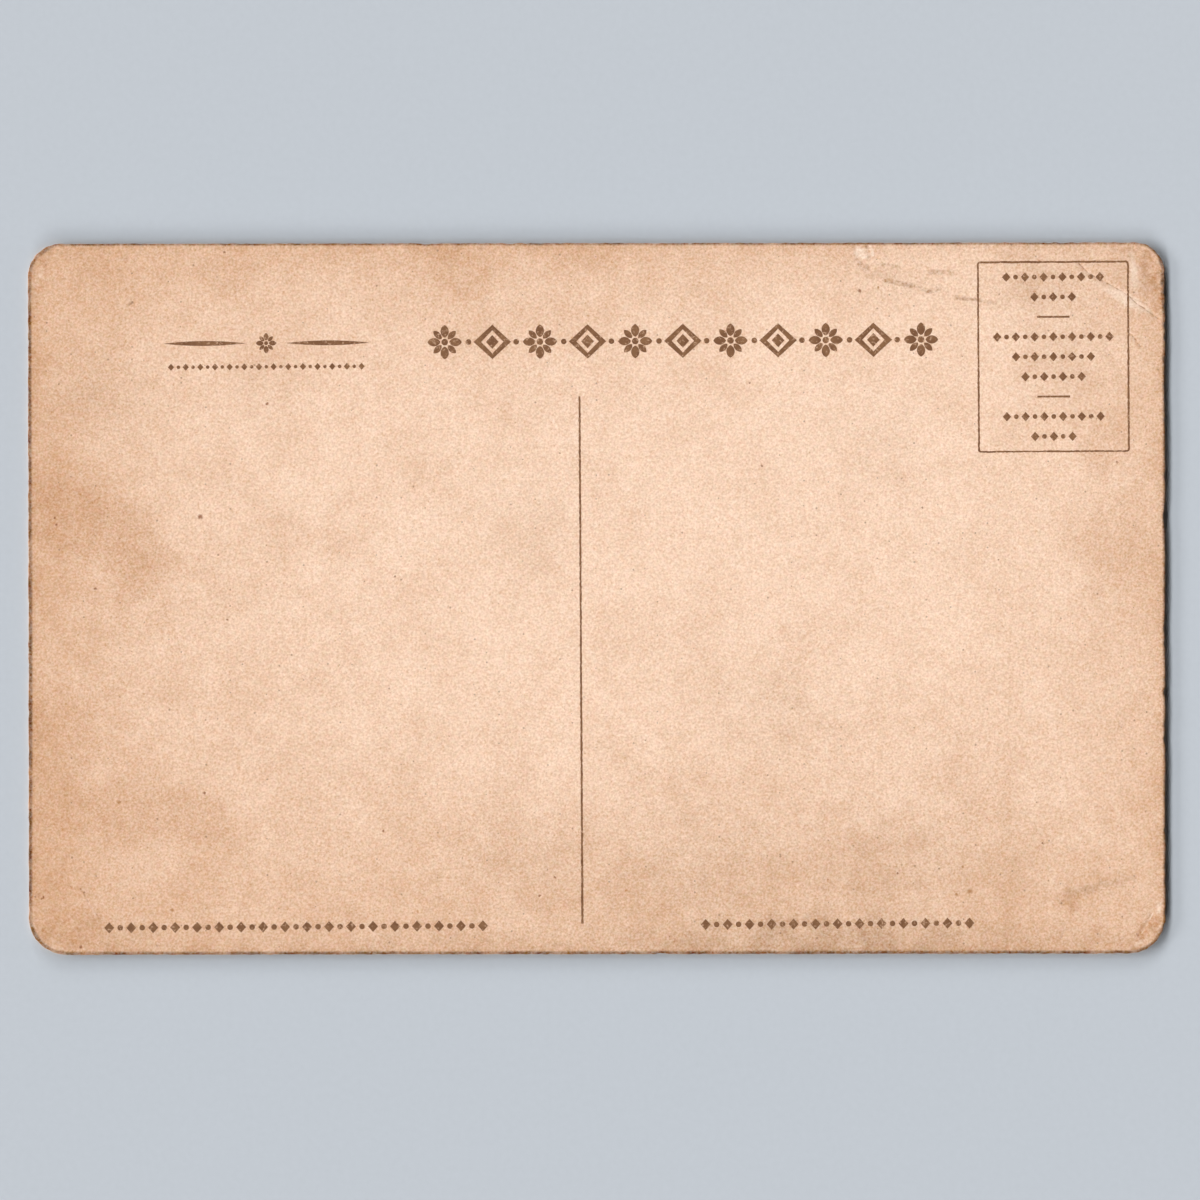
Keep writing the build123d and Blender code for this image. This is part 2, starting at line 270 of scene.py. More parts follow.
def straightRun(x, y, start, end):
    # distance along a straight run as a share of its length, and to its right side
    runX, runY = end[0] - start[0], end[1] - start[1]
    run = math.hypot(runX, runY)
    along = ((x - start[0]) * runX + (y - start[1]) * runY) / run ** 2
    return along, ((x - start[0]) * runY - (y - start[1]) * runX) / run


def creaseDistance(x, y, points):
    # distance to the nearest of a crease's straight runs
    nearest = np.full_like(x, np.inf)
    for start, end in zip(points, points[1:]):
        along = np.clip(straightRun(x, y, start, end)[0], 0, 1)
        footX, footY = start[0] + along * (end[0] - start[0]), start[1] + along * (end[1] - start[1])
        nearest = np.minimum(nearest, np.hypot(x - footX, y - footY))
    return nearest


def oval(x, y, middleX, middleY, halfWide, halfHigh, turn):
    # distance from an oval's middle, 1 on its line
    c, s = math.cos(math.radians(turn)), math.sin(math.radians(turn))
    u = ((x - middleX) * c + (y - middleY) * s) / halfWide
    v = ((y - middleY) * c - (x - middleX) * s) / halfHigh
    return np.hypot(u, v)


def paperRelief(x, y):
    # height below the flat sheet: creases and dips are bell curves, the arris is rounded by a square, least
    # on the left, and the creased corner hinges down beyond its crease; never above the flat sheet
    depth, outX, outY = depthInside(x, y)
    deep, noisy, size, seed = damage["cockle"]
    fall = deep * np.clip(1 + noisy * softNoise(x, y, size, seed), 0, 2.5)
    for points, halfWidth, deep, *hairLine in damage["creases"]:
        fall += deep * np.exp(-(creaseDistance(x, y, points) / halfWidth) ** 2)
    for *shape, deep in damage["dips"]:
        fall += deep * np.exp(-oval(x, y, *shape) ** 2)
    start, end, slope = damage["bentCorner"]
    (fromX, overX), (fromY, overY) = damage["bentFrom"]
    along, side = straightRun(x, y, start, end)
    inBend = np.clip((x - fromX) / overX, 0, 1) * np.clip((y - fromY) / overY, 0, 1)
    fall += slope * np.clip(-side, 0, None) * inBend
    wide, drop, noisy, size, seed = damage["arris"]
    arris = np.clip(1 - depth / (wide * (1 + noisy * softNoise(x, y, size, seed))), 0, 1)
    fall += drop * (1 - damage["leftArris"] * np.clip(-outX, 0, 1)) * arris ** 2
    return -np.minimum(fall, damage["deepest"])


# foot and height in the texture of a slab's face, its back and its wall
bakeRows = {"face": (0.04, 0.96), "back": (0.02, 0.015), "wall": (0.002, 0.014)}


def faceMesh(name, x, y, faceZ, backZ, attributes, material):
    # a thin slab: a grid for its outer face, a wall round its border and one flat back
    rowCount, columnCount = x.shape
    faceUp = faceZ.mean() > backZ
    ring = ringOf(rowCount, columnCount)
    face = np.stack((x, y, faceZ), -1).reshape(-1, 3)
    back = face[ring].copy()
    back[:, 2] = backZ
    points = np.concatenate((face, back))
    index = np.arange(rowCount * columnCount).reshape(rowCount, columnCount)
    quads = np.stack((index[:-1, :-1], index[:-1, 1:], index[1:, 1:], index[1:, :-1]), -1).reshape(-1, 4)
    backRing = len(face) + np.arange(len(ring))
    wall = np.stack((backRing, np.roll(backRing, -1), np.roll(ring, -1), ring), -1)
    backFace = backRing[::-1]
    if not faceUp:
        quads, wall, backFace = quads[:, ::-1], wall[:, ::-1], backRing
    piece = newPiece(name, points, quads.tolist() + wall.tolist() + [backFace.tolist()], material)
    mesh = piece.data
    mesh.polygons.foreach_set("use_smooth", np.arange(len(mesh.polygons)) < len(quads))
    # the face is laid out flat, the wall is unrolled under it
    corners = points[np.concatenate((quads.ravel(), wall.ravel(), backFace))]
    u = corners[:, 0] / card["length"] + 0.5
    up = corners[:, 1] / card["height"] + 0.5
    onWall = slice(quads.size, quads.size + wall.size)
    step = np.arange(len(ring)) / len(ring)
    wallU = np.stack((step, step + 1 / len(ring), step + 1 / len(ring), step), -1)
    u[onWall] = (wallU if faceUp else wallU[:, ::-1]).ravel()
    up[onWall] = np.isin(wall.ravel(), ring)
    counts = (quads.size, wall.size, len(backFace))
    foot, tall = (np.repeat([bakeRows[part][i] for part in ("face", "wall", "back")], counts) for i in (0, 1))
    layout = np.stack((u, foot + tall * up), -1).astype(np.float32)
    mesh.uv_layers.new(name="OFBake").data.foreach_set("uv", layout.ravel())
    for label, value in attributes.items():
        onPoints = np.concatenate((value.ravel(), value.ravel()[ring])).astype(np.float32)
        mesh.attributes.new(label, "FLOAT", "POINT").data.foreach_set("value", onPoints)
    return piece


# tones of the aged paper go into attributes that its material reads
ageing = {
    # strength and reach in mm of the toning that comes in from each side, on the left partly painted shade,
    # and of the handled rim
    "left": (0.88, 16.0), "right": (0.70, 9.0), "top": (0.66, 10.0), "bottom": (0.90, 15.0),
    "rim": (0.50, 0.8),
    # share of the top's toning: at the middle, mm to the right in which it loses 1, least and most; then x,
    # half width and extra share of its darkest place
    "topShare": (0.9, 70, 0.35, 0.85), "topPeak": (-12, 22, 0.45),
    # the right side's toning is full above this y, loses 1 in so many mm below it, and keeps a least share
    "rightShare": (-5, 60, 0.45),
    "evenFoot": 8.0,           # mm from the lower edge within which its toning grows no further
    # how far the outlines of stains and soil wander, over what size, mm, and the seeds across and up
    "wander": ((0.6, 6.0, 41, 43), (0.25, 1.6, 42, 44)),
    # brown damp stains: middle x, y, half sizes, turn in degrees, strength
    "stains": (
        (-64.6, 10.2, 6.2, 4.4, -20, 0.36), (-58.4, 6.4, 6.8, 4.6, -30, 0.34),
        (-38.5, 8.0, 3.4, 2.6, 20, 0.16), (-31.0, 6.5, 3.0, 1.6, -20, 0.12), (62.2, 16.4, 2.6, 3.2, 10, 0.20),
        (63.2, 6.0, 4.4, 6.0, 0, 0.16), (-65.5, -17.5, 4.2, 5.6, 0, 0.14),
        (-56.5, -26.5, 11.5, 3.6, -6, 0.26), (-52.0, -28.5, 4.0, 2.0, 0, 0.14),
        (-62.3, 40.0, 2.6, 2.0, 0, 0.14), (-45.3, 39.8, 3.4, 2.2, 0, 0.20), (-17.0, 40.5, 3.6, 2.4, 0, 0.22),
        (-64.8, -40.5, 3.6, 2.2, 20, 0.26), (67.2, 40.3, 1.4, 0.9, -35, 0.34),
        (68.5, 38.0, 0.7, 2.2, 0, 0.30), (64.6, 42.6, 2.2, 0.5, 0, 0.22), (-68.7, 40.0, 0.6, 1.8, -18, 0.36),
        (-66.0, 42.8, 1.6, 0.5, 8, 0.20), (-31.5, -39.2, 2.6, 1.8, 0, 0.12),
        (-49.0, -36.0, 2.2, 1.6, 0, 0.05), (68.35, -40.3, 0.95, 1.9, -24, 0.50),
        (-52.0, 0.0, 9.0, 5.0, 0, 0.08), (-44.0, -20.0, 5.0, 4.0, 0, 0.08), (-35.0, -29.5, 5.0, 4.0, 0, 0.09),
        (-14.0, -29.0, 5.0, 4.0, 0, 0.08), (45.0, -22.0, 6.0, 8.0, 0, 0.07),
        (-67.4, 42.3, 0.9, 0.35, 35, 0.50), (-69.1, 40.4, 0.35, 1.0, 0, 0.50),
        (58.0, -42.5, 8.0, 2.4, 0, 0.14), (58.1, -37.2, 1.1, 1.6, 10, 0.48),
        (64.2, -34.9, 2.0, 0.9, 15, 0.14)),
    # softness of a stain's edge, and strength and half width of the tide line on it, as shares
    "tideLine": (0.16, 0.12, 0.14),
    # grey handling dirt, and painted shade in the top right corner, in the same way
    "soil": (
        (-7.0, -33.0, 9.0, 7.0, 0, 0.12), (14.0, -35.0, 16.0, 9.0, 0, 0.18),
        (34.0, -34.0, 14.0, 9.5, 0, 0.17), (50.0, -33.5, 6.0, 9.0, 0, 0.10), (54.8, 38.0, 6.0, 3.6, 0, 0.20),
        (57.0, 30.0, 7.0, 6.0, 0, 0.12), (-61.5, 25.0, 5.5, 4.5, 0, 0.14), (-8.0, 9.0, 5.0, 5.5, 0, 0.10),
        (22.0, -14.0, 9.0, 6.0, 0, 0.10), (35.0, 19.0, 4.0, 5.0, 0, 0.10), (-42.0, 26.0, 4.0, 3.0, 0, 0.08),
        # the three ovals on the next line, in the top right corner, are painted shade
        (66.95, 39.2, 0.5, 2.7, 11, 0.28), (68.0, 39.5, 0.7, 1.5, 0, 0.26), (68.4, 38.2, 0.5, 1.1, 0, 0.20),
        (-26.0, -44.2, 34.0, 3.0, 0, 0.26), (28.0, -42.5, 26.0, 3.0, 0, 0.55),
        (-60.0, -42.5, 8.0, 2.5, 0, 0.15)),
    # wide soft streaks: start x, y, end x, y, half width, strength; how far they sway, over what size, mm,
    # and the seed; how steeply their ends fade, and what is left there
    "streaks": (
        (32.6, 40.4, 39.5, 38.2, 0.90, 0.20), (51.8, 35.2, 50.6, 32.6, 0.90, 0.14),
        (56.9, -36.6, 65.6, -34.5, 0.60, 0.34)),
    "streakSway": (0.28, 2.4, 46), "streakEnds": (4, 0.4),
    # pale scuffs, in the same way as the stains; the four in the top right corner are painted highlights
    # along the crease and on the corner
    "scuffsAndHighlights": (
        (65.0, 36.75, 3.0, 0.75, -30, 0.62), (66.0, 39.8, 0.5, 2.3, 6, 0.50),
        (67.5, 35.5, 0.9, 0.3, -42, 0.45), (61.6, 38.4, 2.4, 0.30, -33, 0.25),
        (69.0, -38.1, 0.3, 0.7, -10, 0.55), (66.5, -42.4, 0.6, 0.3, 20, 0.50),
        (-68.6, 39.6, 0.25, 1.2, -20, 0.3)),
}
rimWear = {
    "corner": (7, 3),                     # mm in from two sides where a corner starts, and grows over
    "uneven": (0.35, 1.4, 47),            # strength, size in mm and seed of the noise along the lines
    # strength, mm in from the edge and half width of the pale line round the corners and of the brown one
    # where the top right corner was bent
    "paleLine": (0.14, 0.55, 0.22), "bentLine": (0.30, 0.95, 0.18),
    # the dirtiest rim: strength, middle y and half length on the right side; strength, middle and half sizes
    # of one place on the top left arc; strength and reach in mm of the brown beside it
    "dirtySide": (0.40, 38.4, 3.4), "dirtySpot": (0.45, -67.7, 42.7, 0.9, 0.8), "dirtyStain": (1.5, 0.8),
    "leftStain": (0.25, 0.5),             # strength and reach in mm of the brown on the left edge
    # strength and reach in mm of the handling on the rim; at the corners, and what the top right one adds
    "handledRim": (0.55, 0.8), "handledCorners": (0.5, 0.5, 1.8),
    # mm that the dark rim is wider on the left, more about one y by a half length; at the foot, where it is
    # painted shade; where dirty
    "widerLeft": (0.15, 0.10, -8, 22), "widerFoot": 0.12, "widerDirty": 0.5,
}


def paperTones(x, y):
    # toning, on the left partly painted shade: falls off from each side as an exponential, and what the sides
    # leave untoned is multiplied; stains: soft plateaus inside ovals with a darker tide line on their edge;
    # soil, with painted shade in the top right corner: bell curves; handled: falls off from the rim, and
    # further from the corners
    depth, outX, outY = depthInside(x, y)
    fromSide = {"left": x + halfLength, "right": halfLength - x, "top": halfHeight - y,
                "bottom": np.maximum(y + halfHeight, ageing["evenFoot"]), "rim": depth}
    middle, loss, least, most = ageing["topShare"]
    peakX, peakWide, peakShare = ageing["topPeak"]
    fullY, fade, keeps = ageing["rightShare"]
    peak = peakShare * np.exp(-((x - peakX) / peakWide) ** 2)
    shares = {"top": np.clip(middle - x / loss, least, most) + peak,
              "right": np.clip(1 + (y - fullY) / fade, keeps, 1.0)}
    untonedUnshaded = 1 - 0 * x
    for side, far in fromSide.items():
        strength, reach = ageing[side]
        untonedUnshaded *= 1 - strength * shares.get(side, 1) * np.exp(-np.maximum(far, 0) / reach)
    warpX = x + sum(far * softNoise(x, y, size, seed) for far, size, seed, seedUp in ageing["wander"])
    warpY = y + sum(far * softNoise(x, y, size, seedUp) for far, size, seed, seedUp in ageing["wander"])
    stain = np.zeros_like(x)
    soft, tideStrength, tideWide = ageing["tideLine"]
    for *shape, strength in ageing["stains"]:
        past = oval(warpX, warpY, *shape) - 1
        tide = tideStrength * np.exp(-(past / tideWide) ** 2)
        stain = np.maximum(stain, strength * (1 / (1 + np.exp(past / soft)) + tide))
    soil = np.zeros_like(x)
    for *shape, strength in ageing["soil"]:
        soil = np.maximum(soil, strength * np.exp(-oval(warpX, warpY, *shape) ** 2))
    sway, size, seed = ageing["streakSway"]
    steep, left = ageing["streakEnds"]
    for startX, startY, endX, endY, halfWidth, strength in ageing["streaks"]:
        along, side = straightRun(x, y + sway * softNoise(x, y, size, seed), (startX, startY), (endX, endY))
        fade = np.clip(np.minimum(along, 1 - along) * steep + left, 0, 1)
        soil = np.maximum(soil, strength * fade * np.exp(-(side / halfWidth) ** 2))

    # corners: the arc's rim is rubbed pale, a brown line marks where the top right corner was bent, and its
    # dirty rim is wider down the right side, as it is at one place of the top left arc
    start, grow = rimWear["corner"]
    inCorner = np.clip((np.abs(x) - halfLength + start) / grow, 0, 1)
    inCorner = inCorner * np.clip((np.abs(y) - halfHeight + start) / grow, 0, 1)
    topRight = inCorner * (x > 0) * (y > 0)
    much, size, seed = rimWear["uneven"]
    uneven = 1 + much * softNoise(x, y, size, seed)
    strength, inward, halfWidth = rimWear["paleLine"]
    rubbed = inCorner * strength * np.exp(-((depth - inward * uneven) / halfWidth) ** 2)
    # the scuffs, of which those in the top right corner are painted highlights
    for *shape, strength in ageing["scuffsAndHighlights"]:
        rubbed = np.maximum(rubbed, strength * np.exp(-oval(x, y, *shape) ** 4))
    strength, inward, halfWidth = rimWear["bentLine"]
    bent = topRight * np.exp(-((depth - inward * uneven) / halfWidth) ** 2)
    stain = stain + strength * bent * np.clip(uneven, 0, 1.5)
    strength, middleY, halfWidth = rimWear["dirtySide"]
    dirtyRim = strength * np.clip(outX, 0, 1) * np.exp(-((y - middleY) / halfWidth) ** 4)
    strength, *spot = rimWear["dirtySpot"]
    dirtyRim += strength * np.exp(-oval(x, y, *spot, 0) ** 2)
    leftward, downward = np.clip(-outX, 0, 1), np.clip(-outY, 0, 1)
    for where, (strength, reach) in ((leftward, rimWear["leftStain"]), (dirtyRim, rimWear["dirtyStain"])):
        stain = stain + strength * where * np.exp(-depth / reach)
    strength, reach = rimWear["handledRim"]
    atCorners, atTopRight, cornerReach = rimWear["handledCorners"]
    handled = strength * np.exp(-depth / reach)
    handled += inCorner * (atCorners + atTopRight * topRight) * np.exp(-depth / cornerReach)
    wide, extra, middleY, halfWidth = rimWear["widerLeft"]
    wider = leftward * (wide + extra * np.exp(-((y - middleY) / halfWidth) ** 2))
    # along the foot the wider dark rim is painted shade
    wider += rimWear["widerFoot"] * downward + rimWear["widerDirty"] * dirtyRim * uneven
    return {"toning": 1 - untonedUnshaded, "stain": stain, "soil": soil, "handled": np.clip(handled, 0, 1),
            "rim": depth - wider, "rubbed": rubbed}


paperLook = {
    # the soil colour also paints shade in the top right corner and at the pucker
    "pale": "#F6D3B8", "toned": "#D7A986", "stain": "#C28C62", "soil": "#AE8767", "rim": "#694A34",
    # the rubbed colour also paints highlights beside the creases, at the pucker and on the top right corner
    "fold": "#96694A", "handled": "#A6754C", "rubbed": "#FBE3CE", "speck": "#8A5532", "rust": "#B07B4A",
    "shive": "#6B4A34",
    # size in mm, detail and roughness of the noises, from the pulp's clouds to its fibres, which are drawn a
    # little coarser than real ones to show
    "noises": {"cloud": (9.0, 2.0, 0.5), "mottle": (2.6, 3.0, 0.5), "blotch": (0.9, 3.0, 0.6),
               "tint": (0.62, 1.0, 0.5), "fleck": (0.42, 1.0, 0.5), "grain": (0.26, 2.0, 0.6)},
    "clouds": 0.75, "mottles": 0.50,      # how far they shift the toning
    # the noise that breaks up each tone, and how
    "breaks": {"stain": ("mottle", 0.25, 0.75, 0.75, 1.25), "soil": ("mottle", 0.3, 0.7, 0.7, 1.3),
               "rim": ("mottle", 0.3, 0.6, 0.5, 1.0), "handled": ("blotch", 0.42, 0.66, 0.0, 0.60)},
    # along the foot the arris's dark rim is painted shade
    "rimFade": (0.05, 0.42, 0.95, 0.0),   # mm from the arris over which its dirt fades, and the strength
    "grain": (0.62, 0.65, 0.63),          # light and dark of the fibres in red, green and blue
    "tint": (0.10, 0.03, 0.06),           # the fibres' own colours, in the same way
    "flecks": (0.22, 0.36, -0.66, -0.485),  # the noise's low places take more off the grain
    "softer": (0.2, 1.0, 1.0, 0.74),      # less grain where toned
    # mm between the small shives' places, which of them hold one and how large as a share, and its strength
    "shiveCells": 1.5, "shiveSizes": (0.82, 1.0, 0.0, 0.085), "shiveStrength": 0.45,
    # x, y and radius of the shives and dirt specks and of the rusty ones, mm
    "specks": {
        "speck": (
            (-48.7, 10.1, 0.30), (-45.4, -2.5, 0.16), (-24.8, 2.7, 0.15), (-61.6, 1.3, 0.14),
            (-48.2, -23.8, 0.17), (-63.5, -42.7, 0.20), (-26.3, -28.5, 0.14), (-5.2, -34.2, 0.14),
            (36.9, -33.8, 0.14), (54.7, -30.1, 0.16), (-45.7, 42.6, 0.17), (-40.5, 24.0, 0.17),
            (18.8, 26.5, 0.15), (20.3, 16.3, 0.15), (32.3, 37.8, 0.22), (63.9, 16.7, 0.14),
            (40.0, 11.1, 0.15), (49.3, 4.7, 0.14), (-66.6, 10.0, 0.14), (-66.4, 9.2, 0.15),
            (-68.25, -36.8, 0.12), (-68.0, -36.65, 0.14), (-7.1, -36.45, 0.14)),
        "rust": (
            (45.8, -36.0, 0.32), (44.1, -36.4, 0.22), (-58.7, -24.9, 0.20), (-52.2, -38.2, 0.22),
            (34.6, 38.2, 0.16), (44.9, -33.0, 0.20))},
    "speckPush": 0.35, "speckNoise": 3.0,  # mm that noise pushes their outline about, and its waves in a mm
    "speckStrength": 0.85,
    # rubbed marks, and the pucker's painted shade and highlights: start, end, half width in mm, strength and
    # tone
    "strokes": (
        ((35.5, 39.0), (38.8, 38.35), 0.26, 0.62, "soil"), ((35.2, 41.0), (37.1, 40.6), 0.26, 0.42, "soil"),
        ((41.0, 40.05), (43.7, 40.0), 0.27, 0.48, "soil"), ((38.8, 38.3), (40.3, 37.9), 0.22, 0.30, "soil"),
        ((40.7, 37.6), (42.2, 38.05), 0.30, 0.58, "soil"), ((44.0, 36.95), (47.1, 36.55), 0.26, 0.52, "soil"),
        # the strokes about x 31 to 34 near the top edge paint the pucker: its shade dark and its highlights
        # pale
        ((31.9, 41.4), (33.2, 40.5), 0.34, 0.45, "soil"), ((47.1, 36.5), (49.0, 36.2), 0.22, 0.30, "soil"),
        ((31.55, 43.3), (31.9, 41.7), 0.20, 0.30, "soil"), ((33.15, 43.4), (33.5, 41.6), 0.20, 0.70, "soil"),
        ((32.2, 42.6), (32.75, 42.2), 0.55, 0.75, "rubbed"),
        ((33.65, 43.1), (34.0, 42.2), 0.20, 1.00, "rubbed"),
        ((-63.4, -35.6), (-62.5, -37.1), 0.10, 0.40, "fold"),
        ((-62.3, -37.6), (-61.2, -39.2), 0.10, 0.40, "fold"),
        ((-62.5, -37.2), (-61.4, -39.3), 0.12, 0.36, "rubbed"),
        ((-57.4, 36.2), (-57.0, 36.45), 0.15, 0.80, "fold"),
        ((66.3, -41.2), (66.6, -41.7), 0.10, 0.45, "fold")),
}
lineLook = {
    "sway": 0.24, "swaySize": 1.3,        # mm that drawn lines wander from side to side, and over what size
    "breakSize": 0.6, "breaks": (0.38, 0.60, 0.30, 1.20),
}


def drawLines(add, place, colour, lines, share, tones):
    # each line is full to half its half width and gone at one and a half, by the distance to the nearest
    # point of a straight run; the lines wander a little and break up
    sway = lineLook["sway"]
    wander = add("TexNoise", {}, {"Scale": 1 / lineLook["swaySize"], "Detail": 1.0}, {"Vector": place})
    swayed = add("VectorMath", timesPlus, {1: (sway, sway, 0)}, {0: wander.outputs["Color"], 2: place})
    onSheet = add("VectorMath", timesPlus, {1: (1, 1, 0), 2: (-sway / 2, -sway / 2, 0)}, {0: swayed})
    patches = add("TexNoise", {}, {"Scale": 1 / lineLook["breakSize"], "Detail": 2.0}, {"Vector": place})
    breaks = add("MapRange", {}, spread(lineLook["breaks"]), {0: patches})
    for start, end, halfWidth, strength, tone in lines:
        run = math.hypot(end[0] - start[0], end[1] - start[1])
        heading = ((end[0] - start[0]) / run, (end[1] - start[1]) / run, 0)
        offset = add("VectorMath", {"operation": "SUBTRACT"}, {1: (*start, 0)}, {0: onSheet})
        along = add("VectorMath", {"operation": "DOT_PRODUCT"}, {1: heading}, {0: offset})
        kept = add("Clamp", {}, {"Min": 0.0, "Max": run}, {"Value": along})
        foot = add("VectorMath", {"operation": "SCALE"}, {0: heading}, {"Scale": kept})
        far = add("VectorMath", {"operation": "DISTANCE"}, {}, {0: offset, 1: foot})
        fade = spread((halfWidth * 0.5, halfWidth * 1.5, strength * share, 0.0))
        line = add("MapRange", {}, fade, {0: far})
        broken = add("Math", times, {}, {0: line, 1: breaks})
        colour = add("Mix", mixColours, {7: tones[tone]}, {0: broken, 6: colour})
    return colour


def agedPaper():
    # uncoated rag and wood paper, calendered smooth: matt, warm tan with age, darker on the left partly by
    # painted shade, cloudy where the pulp is uneven, finely grained by its fibres, browner at the handled rim
    # and in damp stains, with painted shade and highlights at its creases, pucker and top right corner
    material, add, place = newMaterial("agedRagPaper")
    look = paperLook
    labels = ("toning", "stain", "soil", "handled", "rim", "rubbed")
    read = {label: add("Attribute", {"attribute_name": label}).outputs["Fac"] for label in labels}
    noise = {label: add("TexNoise", {}, {"Scale": 1 / size, "Detail": detail, "Roughness": roughness},
                        {"Vector": place}) for label, (size, detail, roughness) in look["noises"].items()}
    clouds = add("Math", timesPlus, {1: look["clouds"], 2: -look["clouds"] / 2}, {0: noise["cloud"]})
    mottles = add("Math", timesPlus, {1: look["mottles"], 2: -look["mottles"] / 2}, {0: noise["mottle"]})
    uneven = add("Math", plus, {}, {0: clouds, 1: mottles})
    toned = add("Math", plusClamped, {}, {0: read["toning"], 1: uneven})
    colour = add("Mix", mixColours, {6: look["pale"], 7: look["toned"]}, {0: toned})
    # damp stains, soil and painted shade, the dirt on the arris with painted shade along the foot, and
    # blotches where fingers held it, each broken up by a noise
    read["rim"] = add("MapRange", smoothStep, spread(look["rimFade"]), {0: read["rim"]})
    for tone, (pattern, *levels) in look["breaks"].items():
        breaks = add("MapRange", {}, spread(levels), {0: noise[pattern]})
        broken = add("Math", times, {}, {0: read[tone], 1: breaks})
        colour = add("Mix", mixColours, {7: look[tone]}, {0: broken, 6: colour})
    # pale: rubbed wear round the corners, and painted highlights beside the creases and on the top right
    # corner
    colour = add("Mix", mixColours, {7: look["rubbed"]}, {0: read["rubbed"], 6: colour})
    # rubbed marks and crease hair lines, among them painted shade and highlights at the pucker and the bottom
    # right crease
    colour = drawLines(add, place, colour, [*look["strokes"], *creaseLines], 1.0, look)
    # warm and cool fibres, then their light and dark grain
    warmth = add("VectorMath", {"operation": "SUBTRACT"}, {1: (0.5, 0.5, 0.5)},
                 {0: noise["tint"].outputs["Color"]})
    tinted = add("VectorMath", timesPlus, {1: look["tint"]}, {0: warmth, 2: colour})
    flecks = add("MapRange", {}, spread(look["flecks"]), {0: noise["fleck"]})
    grainLight = add("Math", plus, {}, {0: noise["grain"], 1: flecks})
    softer = add("MapRange", {}, spread(look["softer"]), {0: toned})
    fibres = add("Math", times, {}, {0: grainLight, 1: softer})
    grained = add("VectorMath", timesPlus, {1: look["grain"]}, {0: fibres, 2: tinted})
    # small shives scattered in the pulp: middles of Voronoi cells, only where the cell's own number is high
    cell = add("TexVoronoi", {"voronoi_dimensions": "2D"}, {"Scale": 1 / look["shiveCells"]},
               {"Vector": place})
    pick = add("SeparateColor", links={0: cell.outputs["Color"]})
    chosen = add("MapRange", {}, spread(look["shiveSizes"]), {0: pick})
    small = add("Math", {"operation": "LESS_THAN"}, {}, {0: cell, 1: chosen})
    shives = add("Math", times, {1: look["shiveStrength"]}, {0: small})
    colour = add("Mix", mixColours, {7: look["shive"]}, {0: shives, 6: grained})
    # the larger specks, each listed, a little ragged, full to half the radius and gone past it
    push = look["speckPush"]
    wobble = add("TexNoise", {}, {"Scale": look["speckNoise"], "Detail": 1.0}, {"Vector": place})
    pushed = add("VectorMath", timesPlus, {1: (push, push, 0)}, {0: wobble.outputs["Color"], 2: place})
    flat = add("VectorMath", times, {1: (1, 1, 0)}, {0: pushed})
    for tone, spots in look["specks"].items():
        for x, y, radius in spots:
            far = add("VectorMath", {"operation": "DISTANCE"}, {1: (x + push / 2, y + push / 2, 0)},
                      {0: flat})
            fade = spread((radius * 0.5, radius * 1.3, look["speckStrength"], 0.0))
            spot = add("MapRange", {}, fade, {0: far})
            colour = add("Mix", mixColours, {7: look[tone]}, {0: spot, 6: colour})
    finishSurface(add, colour, noise["grain"], (0.35, 0.02),
                  {"Roughness": 0.88, "IOR": 1.45, "Specular IOR Level": 0.25})
    return material


boardLooks = {
    # light, dark and dirty tone, roughness and size of the grain in mm
    "pulpBoard": ("#B58F66", "#8C6844", "#5E432E", 0.92, 0.25),
    "flourPaste": ("#97744C", "#735433", "#553B27", 0.55, 0.30),
    "edgePaper": ("#CBA17D", "#A37850", "#6E4D35", 0.90, 0.25),
}
# how much longer than high the fibres show, size in mm of the dirty patches, and what fibres and patches give
edgeLook = {"streak": 9.0, "patchSize": 2.2, "fibres": (0.3, 0.7, 0.0, 1.0), "dirt": (0.40, 0.70, 0.20, 0.85)}


def cutEdge(name):
    # a layer of the board where only its cut edge shows: fibres lie along the layer, so the edge is streaked
    # lengthways, and handling has rubbed brown dirt into it
    light, dark, dirt, roughness, grain = boardLooks[name]
    material, add, place = newMaterial(name)
    along = add("Mapping", {}, {"Scale": (1, 1, edgeLook["streak"])}, {"Vector": place})
    fibre = add("TexNoise", {}, {"Scale": 1 / grain, "Detail": 3.0, "Roughness": 0.65}, {"Vector": along})
    patches = add("TexNoise", {}, {"Scale": 1 / edgeLook["patchSize"], "Detail": 3.0}, {"Vector": place})
    fibres = add("MapRange", {}, spread(edgeLook["fibres"]), {0: fibre})
    body = add("Mix", mixColours, {6: light, 7: dark}, {0: fibres})
    handled = add("MapRange", {}, spread(edgeLook["dirt"]), {0: patches})
    dirty = add("Mix", mixColours, {7: dirt}, {0: handled, 6: body})
    finishSurface(add, dirty, fibre, (0.5, 0.03),
                  {"Roughness": roughness, "IOR": 1.45, "Specular IOR Level": 0.3})
    return material


coatingLook = {
    "pale": "#F1E6D2", "toned": "#D8BF9C", "dirt": "#8F6E50", "fox": "#B5895C", "fold": "#8F6E50",
    "rubbed": "#A78660",
    "cloudSize": 7.0, "clouds": 0.7,      # mm, and how far they shift the toning
    "grainSize": 0.4, "grain": 0.22,      # mm, and how far its light and dark go
    # mm between the places of brown spots, which hold one and how large as a share, and their soft edge
    "foxCells": 3.4, "foxSizes": (0.72, 1.0, 0.0, 0.16), "foxEdge": (-0.03, 0.06, 0.0, 0.5),
    "rimFade": (0.0, 0.5, 1.0, 0.0), "rimBreaks": (0.3, 0.65, 0.3, 0.9),
}


